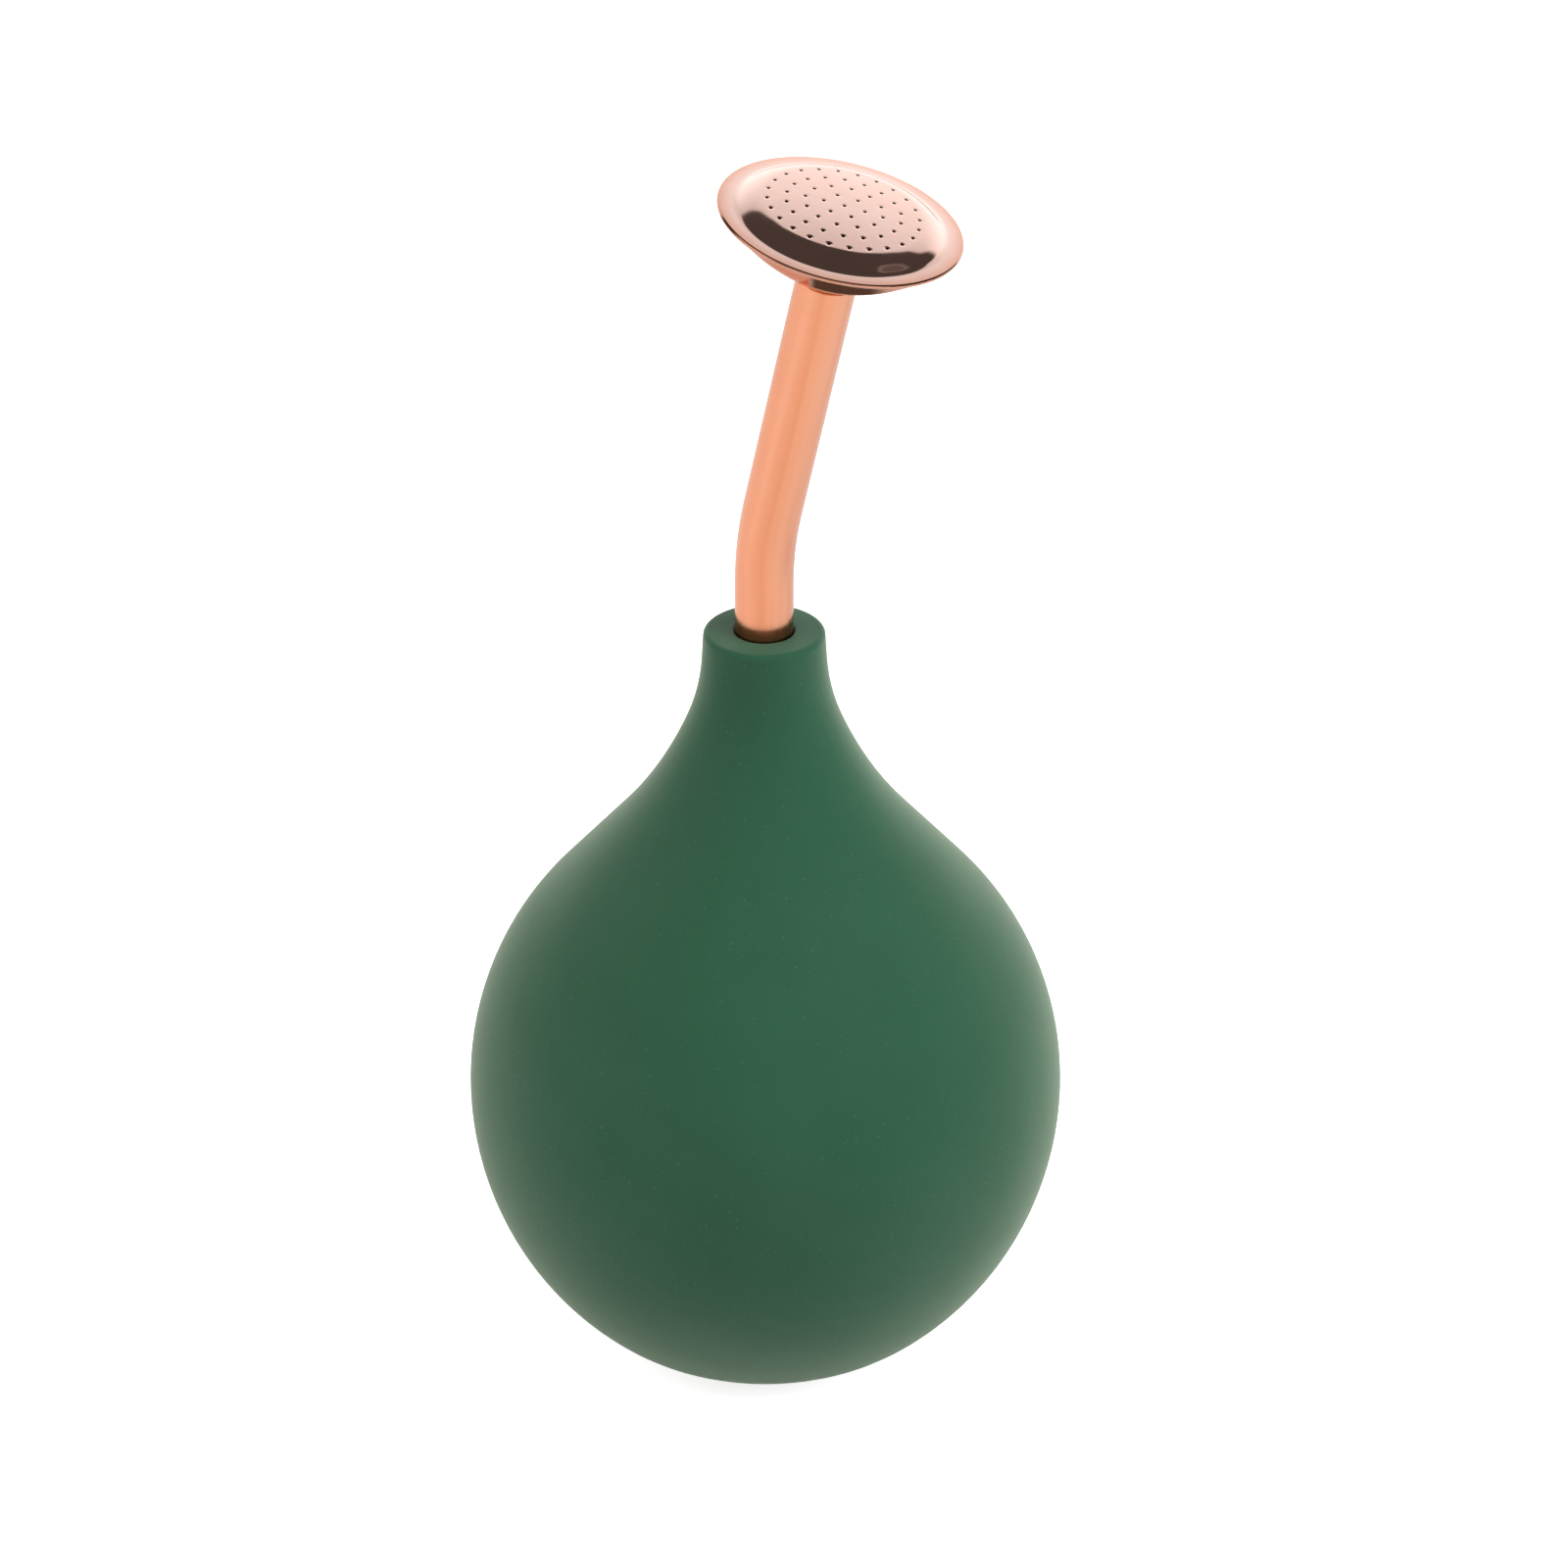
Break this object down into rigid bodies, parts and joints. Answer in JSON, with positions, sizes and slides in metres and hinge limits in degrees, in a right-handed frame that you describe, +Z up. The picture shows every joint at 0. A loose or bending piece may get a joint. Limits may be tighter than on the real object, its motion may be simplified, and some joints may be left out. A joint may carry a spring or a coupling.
{
  "type": "bulb plant waterer",
  "caption": "Rubber squeeze bulb with a bent copper stem and a perforated copper rose, for sprinkling small plants.",
  "frame": {"origin": "centre of the bulb's flat base", "axes": "+Z up along the bulb's axis; the stem's bend leans towards +X; Y is across the bend"},
  "size_m": [0.0864, 0.0864, 0.1801],
  "materials": {
    "rubber": "matte moulded rubber",
    "stem_copper": "bright drawn copper",
    "rose_copper": "polished copper",
    "spigot_brass": "turned brass",
    "seal_rubber": "black rubber",
    "solder": "soft solder"
  },
  "bodies": {
    "bulb": {"bulb_wall": "rubber"},
    "neck": {"bulb_neck": "rubber"},
    "stem": {"stem_tube": "stem_copper"},
    "seal": {"spigot_o_ring": "seal_rubber"},
    "rose": {"rose_spigot": "spigot_brass", "rose_back": "rose_copper", "rose_solder_ring": "solder", "rose_face": "rose_copper"}
  },
  "joints": [
    {"name": "bulb_squeeze", "type": "slide", "parent": "bulb", "child": "neck", "axis": [0, 0, -1], "range_m": [0, 0.022], "stiffness_N_per_m": 1500, "deforming": ["bulb_wall"]},
    {"name": "stem_pull", "type": "slide", "parent": "neck", "child": "stem", "axis": [0, 0, 1], "range_m": [0, 0.024]},
    {"name": "rose_pull", "type": "slide", "parent": "stem", "child": "seal", "axis": [0.2419, 0, 0.9703], "range_m": [0, 0.012]},
    {"name": "rose_turn", "type": "hinge", "parent": "seal", "child": "rose", "pos_m": [0.01016, 0, 0.16755], "axis": [0.2419, 0, 0.9703], "continuous": true}
  ]
}
